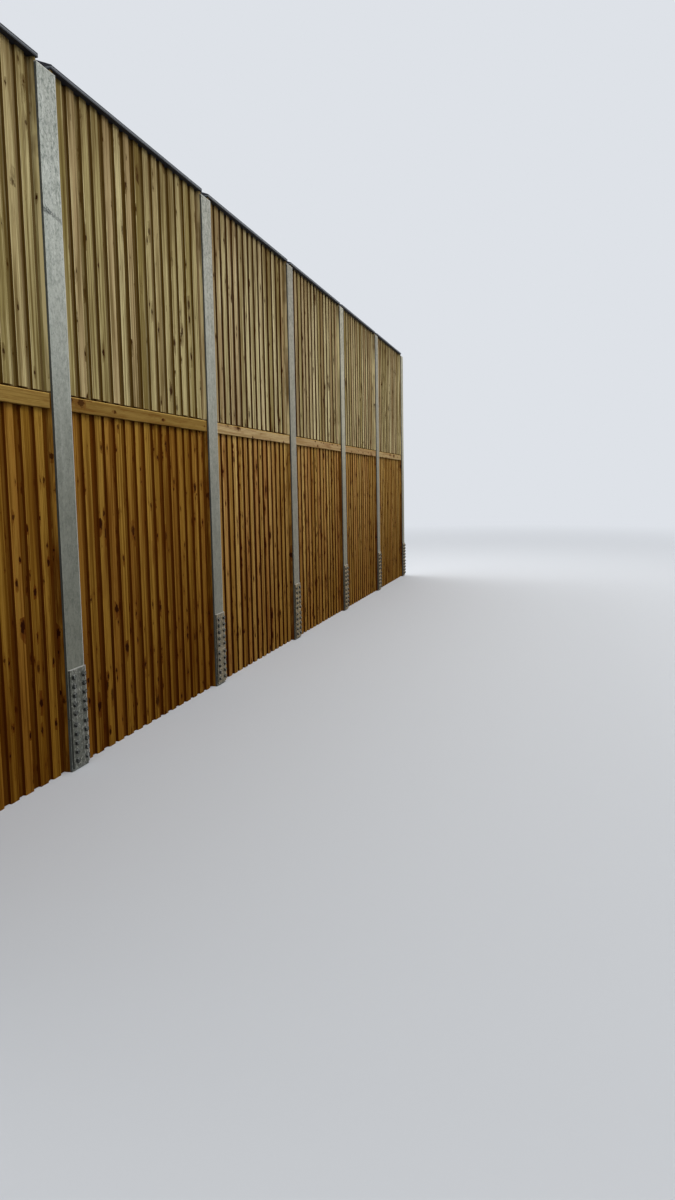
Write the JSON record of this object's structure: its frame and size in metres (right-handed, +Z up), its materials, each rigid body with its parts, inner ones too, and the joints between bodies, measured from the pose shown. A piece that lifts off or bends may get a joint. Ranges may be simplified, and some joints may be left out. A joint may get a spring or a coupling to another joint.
{
  "type": "noise barrier section",
  "caption": "Timber noise barrier run between galvanised H posts: board-on-board panels in two tiers, proud middle rail, pitched capping, bolted splices at the post bases.",
  "frame": {"origin": "centre of the foot of the middle post, at ground level", "axes": "+X along the run, -Y out of the face seen in the picture, +Z up"},
  "size_m": [15.206, 0.234, 4.127],
  "materials": {
    "galvanised_post": "hot-dip galvanised, mottled light grey with pale patches",
    "galvanised_pile": "hot-dip galvanised, dull and dirty",
    "splice_plate": "hot-dip galvanised, dark grey with scratches",
    "lower_boards": "sawn softwood, golden brown with knots, darker to the foot",
    "upper_boards": "pressure-treated sawn softwood, pale grey-green",
    "rail_timber": "sawn softwood, golden brown",
    "capping": "dark charcoal, matt"
  },
  "bodies": {
    "root": {"post_1": "galvanised_post", "post_2": "galvanised_post", "post_3": "galvanised_post", "post_4": "galvanised_post", "post_5": "galvanised_post", "post_6": "galvanised_post", "post_7": "galvanised_post", "pile_head_1": "galvanised_pile", "pile_head_2": "galvanised_pile", "pile_head_3": "galvanised_pile", "pile_head_4": "galvanised_pile", "pile_head_5": "galvanised_pile", "pile_head_6": "galvanised_pile", "pile_head_7": "galvanised_pile", "splice_1": "splice_plate", "splice_2": "splice_plate", "splice_3": "splice_plate", "splice_4": "splice_plate", "splice_5": "splice_plate", "splice_6": "splice_plate", "splice_7": "splice_plate", "lower_panel_1": "lower_boards", "lower_panel_2": "lower_boards", "lower_panel_3": "lower_boards", "lower_panel_4": "lower_boards", "lower_panel_5": "lower_boards", "lower_panel_6": "lower_boards", "upper_panel_1": "upper_boards", "upper_panel_2": "upper_boards", "upper_panel_3": "upper_boards", "upper_panel_4": "upper_boards", "upper_panel_5": "upper_boards", "upper_panel_6": "upper_boards", "middle_rail_1": "rail_timber", "middle_rail_2": "rail_timber", "middle_rail_3": "rail_timber", "middle_rail_4": "rail_timber", "middle_rail_5": "rail_timber", "middle_rail_6": "rail_timber", "capping_1": "capping", "capping_2": "capping", "capping_3": "capping", "capping_4": "capping", "capping_5": "capping", "capping_6": "capping"}
  },
  "joints": []
}
